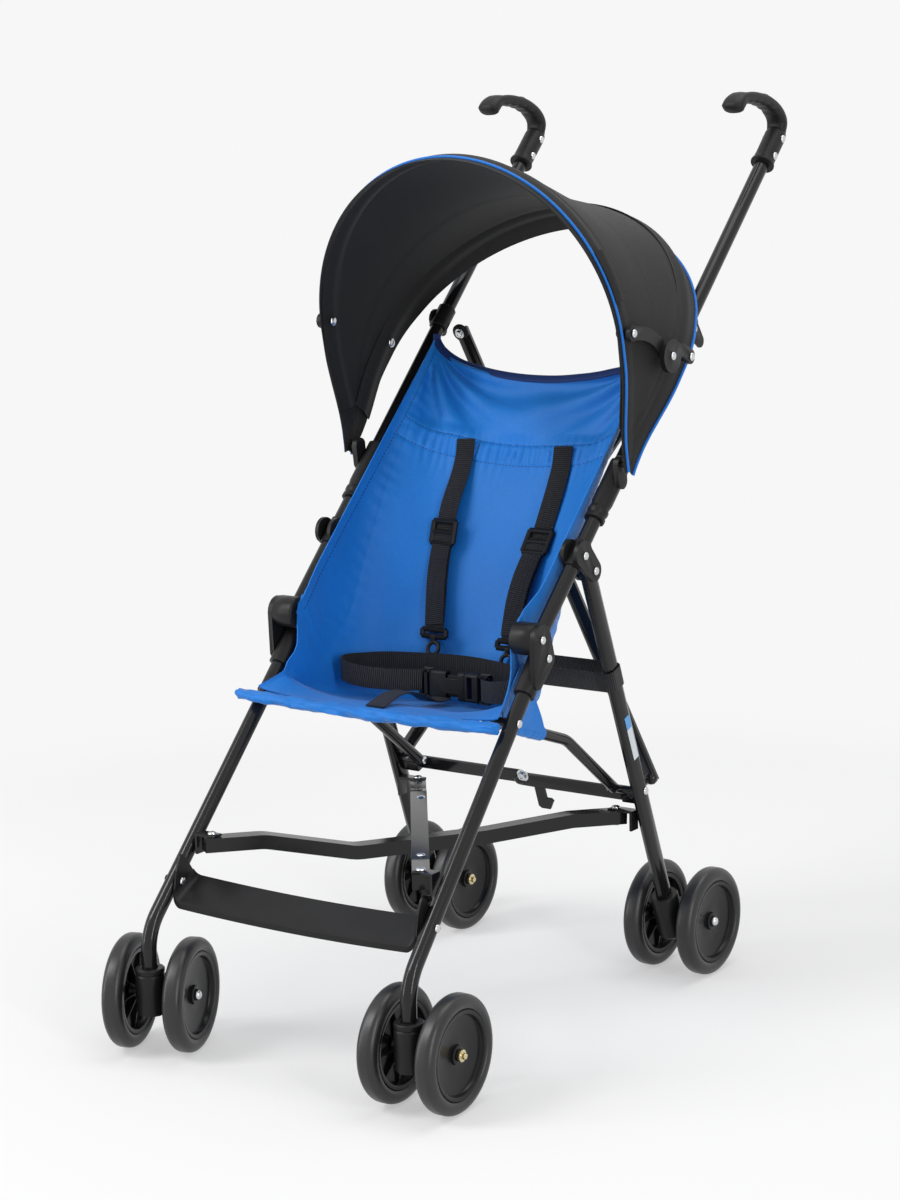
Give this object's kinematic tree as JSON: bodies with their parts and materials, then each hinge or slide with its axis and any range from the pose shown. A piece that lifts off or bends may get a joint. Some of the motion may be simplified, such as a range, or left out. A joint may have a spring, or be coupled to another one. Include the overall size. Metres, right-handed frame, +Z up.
{
  "type": "folding stroller",
  "caption": "Lightweight folding stroller with hooked hand grips, sling seat, harness, curved canopy, scissor frame, swivelling front casters and rear wheels.",
  "frame": {"origin": "centre of the overall box, at floor level", "axes": "+Z up, -Y the way the stroller travels, +X towards the seated child's left"},
  "size_m": [0.466, 0.8588, 1.0234],
  "materials": {
    "black_steel": "gloss black powder coat",
    "black_plastic": "satin black moulded plastic",
    "grip_plastic": "soft satin black moulded grip",
    "tyre_rubber": "smooth semi-gloss black tyre",
    "canopy_cloth": "woven charcoal polyester",
    "seat_cloth": "woven royal blue polyester",
    "webbing": "ribbed black webbing"
  },
  "bodies": {
    "frame_left": {"handle_tube_left": "black_steel", "grip_left": "grip_plastic", "rear_leg_bracket_left": "black_plastic", "top_bracket_left": "black_plastic", "canopy_clip_left": "black_plastic", "canopy_hoop_rear": "black_plastic", "canopy": "canopy_cloth", "seat": "seat_cloth", "shoulder_strap_left": "webbing", "shoulder_strap_right": "webbing", "waist_belt": "webbing", "crotch_strap": "webbing"},
    "frame_right": {"handle_tube_right": "black_steel", "grip_right": "grip_plastic", "rear_leg_bracket_right": "black_plastic", "top_bracket_right": "black_plastic", "canopy_clip_right": "black_plastic"},
    "front_leg_left": {"front_leg_left": "black_steel", "knuckle_left": "black_plastic", "foot_rest": "black_plastic"},
    "front_leg_right": {"front_leg_right": "black_steel", "knuckle_right": "black_plastic"},
    "rear_leg_left": {"rear_leg_left": "black_steel", "rear_housing_left": "black_plastic", "back_strap": "webbing"},
    "seat_rail_left": {"seat_rail_left": "black_steel"},
    "cross_tube_left": {"cross_tube_left": "black_steel"},
    "cross_bar_left": {"cross_bar_left": "black_steel"},
    "lock_link_left": {"lock_link_left": "black_steel"},
    "caster_left": {"front_housing_left": "black_plastic"},
    "front_wheel_left_outer": {"front_tyre_left_outer": "tyre_rubber", "front_hub_left_outer": "black_plastic"},
    "rear_wheel_left_outer": {"rear_tyre_left_outer": "tyre_rubber", "rear_hub_left_outer": "black_plastic"},
    "front_wheel_left_inner": {"front_tyre_left_inner": "tyre_rubber", "front_hub_left_inner": "black_plastic"},
    "rear_wheel_left_inner": {"rear_tyre_left_inner": "tyre_rubber", "rear_hub_left_inner": "black_plastic"},
    "rear_leg_right": {"rear_leg_right": "black_steel", "rear_housing_right": "black_plastic"},
    "seat_rail_right": {"seat_rail_right": "black_steel"},
    "cross_tube_right": {"cross_tube_right": "black_steel"},
    "cross_bar_right": {"cross_bar_right": "black_steel"},
    "lock_link_right": {"lock_link_right": "black_steel"},
    "caster_right": {"front_housing_right": "black_plastic"},
    "front_wheel_right_outer": {"front_tyre_right_outer": "tyre_rubber", "front_hub_right_outer": "black_plastic"},
    "rear_wheel_right_outer": {"rear_tyre_right_outer": "tyre_rubber", "rear_hub_right_outer": "black_plastic"},
    "front_wheel_right_inner": {"front_tyre_right_inner": "tyre_rubber", "front_hub_right_inner": "black_plastic"},
    "rear_wheel_right_inner": {"rear_tyre_right_inner": "tyre_rubber", "rear_hub_right_inner": "black_plastic"},
    "canopy_front": {"canopy_hoop_front": "black_plastic"},
    "stay_rear_left": {"stay_arm_rear_left": "black_plastic"},
    "stay_front_left": {"stay_arm_front_left": "black_plastic"},
    "stay_rear_right": {"stay_arm_rear_right": "black_plastic"},
    "stay_front_right": {"stay_arm_front_right": "black_plastic"},
    "harness": {"buckle_housing": "black_plastic"},
    "buckle_plug": {"buckle_plug": "black_plastic"}
  },
  "joints": [
    {"name": "fold", "type": "hinge", "parent": "frame_left", "child": "front_leg_left", "pos_m": [0.1765, -0.12943, 0.45428], "axis": [-1, 0, 0], "range_deg": [0, 160], "deforming": ["seat", "canopy", "canopy_hoop_front", "canopy_hoop_rear", "foot_rest", "back_strap", "shoulder_strap_left", "shoulder_strap_right", "waist_belt", "crotch_strap"]},
    {"name": "sides_close", "type": "slide", "parent": "frame_left", "child": "frame_right", "axis": [1, 0, 0], "range_m": [0, 0.2122]},
    {"name": "front_leg_right_fold", "type": "hinge", "parent": "frame_right", "child": "front_leg_right", "pos_m": [-0.1545, -0.12943, 0.45428], "axis": [-1, 0, 0], "range_deg": [0, 160.01]},
    {"name": "rear_leg_left_fold", "type": "hinge", "parent": "frame_left", "child": "rear_leg_left", "pos_m": [0.179, -0.01685, 0.51131], "axis": [-1, 0, 0], "range_deg": [0, 53.11]},
    {"name": "seat_rail_left_fold", "type": "hinge", "parent": "rear_leg_left", "child": "seat_rail_left", "pos_m": [0.1484, 0.08378, 0.23634], "axis": [-1, 0, 0], "range_deg": [0, 20.6]},
    {"name": "cross_tube_left_fold", "type": "hinge", "parent": "rear_leg_left", "child": "cross_tube_left", "pos_m": [0.17889, 0.11642, 0.24458], "axis": [0.6958, 0.646, 0.314], "range_deg": [0, 34.36]},
    {"name": "cross_bar_left_fold", "type": "hinge", "parent": "rear_leg_left", "child": "cross_bar_left", "pos_m": [0.151, 0.08291, 0.203], "axis": [-0.8357, -0.1305, 0.5334], "range_deg": [0, 71.53]},
    {"name": "lock_link_left_fold", "type": "hinge", "parent": "rear_leg_left", "child": "lock_link_left", "pos_m": [0.161, 0.09621, 0.22769], "axis": [0, 0.9391, 0.3437], "range_deg": [0, 72.95]},
    {"name": "caster_left_swivel", "type": "hinge", "parent": "front_leg_left", "child": "caster_left", "pos_m": [0.1848, -0.3837, 0.0635], "axis": [0, 0, 1], "continuous": true},
    {"name": "front_wheel_left_outer_spin", "type": "hinge", "parent": "caster_left", "child": "front_wheel_left_outer", "pos_m": [0.21929, -0.35407, 0.0635], "axis": [0.9994, 0.0349, 0], "continuous": true},
    {"name": "rear_wheel_left_outer_spin", "type": "hinge", "parent": "rear_leg_left", "child": "rear_wheel_left_outer", "pos_m": [0.2203, 0.17543, 0.0635], "axis": [1, 0, 0], "continuous": true},
    {"name": "front_wheel_left_inner_spin", "type": "hinge", "parent": "caster_left", "child": "front_wheel_left_inner", "pos_m": [0.14833, -0.35655, 0.0635], "axis": [0.9994, 0.0349, 0], "continuous": true},
    {"name": "rear_wheel_left_inner_spin", "type": "hinge", "parent": "rear_leg_left", "child": "rear_wheel_left_inner", "pos_m": [0.1493, 0.17543, 0.0635], "axis": [1, 0, 0], "continuous": true},
    {"name": "rear_leg_right_fold", "type": "hinge", "parent": "frame_right", "child": "rear_leg_right", "pos_m": [-0.157, -0.01685, 0.51131], "axis": [-1, 0, 0], "range_deg": [0, 53.11]},
    {"name": "seat_rail_right_fold", "type": "hinge", "parent": "rear_leg_right", "child": "seat_rail_right", "pos_m": [-0.1264, 0.08378, 0.23634], "axis": [-1, 0, 0], "range_deg": [0, 20.6]},
    {"name": "cross_tube_right_fold", "type": "hinge", "parent": "rear_leg_right", "child": "cross_tube_right", "pos_m": [-0.15689, 0.10372, 0.24735], "axis": [0.6981, -0.6424, -0.3163], "range_deg": [0, 34.25]},
    {"name": "cross_bar_right_fold", "type": "hinge", "parent": "rear_leg_right", "child": "cross_bar_right", "pos_m": [-0.129, 0.08291, 0.203], "axis": [-0.8357, 0.1305, -0.5334], "range_deg": [0, 71.53]},
    {"name": "lock_link_right_fold", "type": "hinge", "parent": "rear_leg_right", "child": "lock_link_right", "pos_m": [-0.139, 0.10053, 0.22927], "axis": [0, -0.9391, -0.3437], "range_deg": [0, 55.45]},
    {"name": "caster_right_swivel", "type": "hinge", "parent": "front_leg_right", "child": "caster_right", "pos_m": [-0.1628, -0.3837, 0.0635], "axis": [0, 0, 1], "continuous": true},
    {"name": "front_wheel_right_outer_spin", "type": "hinge", "parent": "caster_right", "child": "front_wheel_right_outer", "pos_m": [-0.20525, -0.36743, 0.0635], "axis": [0.9527, 0.304, 0], "continuous": true},
    {"name": "rear_wheel_right_outer_spin", "type": "hinge", "parent": "rear_leg_right", "child": "rear_wheel_right_outer", "pos_m": [-0.1983, 0.17543, 0.0635], "axis": [1, 0, 0], "continuous": true},
    {"name": "front_wheel_right_inner_spin", "type": "hinge", "parent": "caster_right", "child": "front_wheel_right_inner", "pos_m": [-0.13761, -0.34585, 0.0635], "axis": [0.9527, 0.304, 0], "continuous": true},
    {"name": "rear_wheel_right_inner_spin", "type": "hinge", "parent": "rear_leg_right", "child": "rear_wheel_right_inner", "pos_m": [-0.1273, 0.17543, 0.0635], "axis": [1, 0, 0], "continuous": true},
    {"name": "canopy_front_fold", "type": "hinge", "parent": "frame_left", "child": "canopy_front", "pos_m": [0.011, 0.03572, 0.62297], "axis": [-1, 0, 0], "range_deg": [0, 28.01]},
    {"name": "stay_rear_left_fold", "type": "hinge", "parent": "frame_left", "child": "stay_rear_left", "pos_m": [0.218, 0.12796, 0.73486], "axis": [1, 0, 0], "range_deg": [0, 86.23]},
    {"name": "stay_front_left_fold", "type": "hinge", "parent": "stay_rear_left", "child": "stay_front_left", "pos_m": [0.218, 0.08597, 0.7399], "axis": [-1, 0, 0], "range_deg": [0, 126.97]},
    {"name": "stay_rear_right_fold", "type": "hinge", "parent": "frame_right", "child": "stay_rear_right", "pos_m": [-0.196, 0.12796, 0.73486], "axis": [1, 0, 0], "range_deg": [0, 86.23]},
    {"name": "stay_front_right_fold", "type": "hinge", "parent": "stay_rear_right", "child": "stay_front_right", "pos_m": [-0.196, 0.08597, 0.7399], "axis": [-1, 0, 0], "range_deg": [0, 126.97]},
    {"name": "harness_close", "type": "slide", "parent": "frame_left", "child": "harness", "axis": [0.8216, -0.4611, 0.3353], "range_m": [0, 0.11949]},
    {"name": "buckle_release", "type": "slide", "parent": "harness", "child": "buckle_plug", "axis": [1, 0, 0], "range_m": [0, 0.02], "deforming": ["waist_belt"]}
  ],
  "couplings": [
    {"joint": "sides_close", "follows": "fold", "m_per_rad": 0.075917},
    {"joint": "front_leg_right_fold", "follows": "fold", "ratio": 1},
    {"joint": "rear_leg_left_fold", "follows": "fold", "ratio": 0.33187},
    {"joint": "seat_rail_left_fold", "follows": "fold", "ratio": 0.12868},
    {"joint": "cross_tube_left_fold", "follows": "fold", "ratio": 0.21469},
    {"joint": "cross_bar_left_fold", "follows": "fold", "ratio": 0.447},
    {"joint": "lock_link_left_fold", "follows": "fold", "ratio": 0.45589},
    {"joint": "rear_leg_right_fold", "follows": "fold", "ratio": 0.33187},
    {"joint": "seat_rail_right_fold", "follows": "fold", "ratio": 0.12868},
    {"joint": "cross_tube_right_fold", "follows": "fold", "ratio": 0.214},
    {"joint": "cross_bar_right_fold", "follows": "fold", "ratio": 0.447},
    {"joint": "lock_link_right_fold", "follows": "fold", "ratio": 0.34648},
    {"joint": "canopy_front_fold", "follows": "fold", "ratio": 0.175},
    {"joint": "stay_rear_left_fold", "follows": "fold", "ratio": 0.53891},
    {"joint": "stay_front_left_fold", "follows": "fold", "ratio": 0.79353},
    {"joint": "stay_rear_right_fold", "follows": "fold", "ratio": 0.53891},
    {"joint": "stay_front_right_fold", "follows": "fold", "ratio": 0.79353},
    {"joint": "harness_close", "follows": "fold", "m_per_rad": 0.042716}
  ]
}
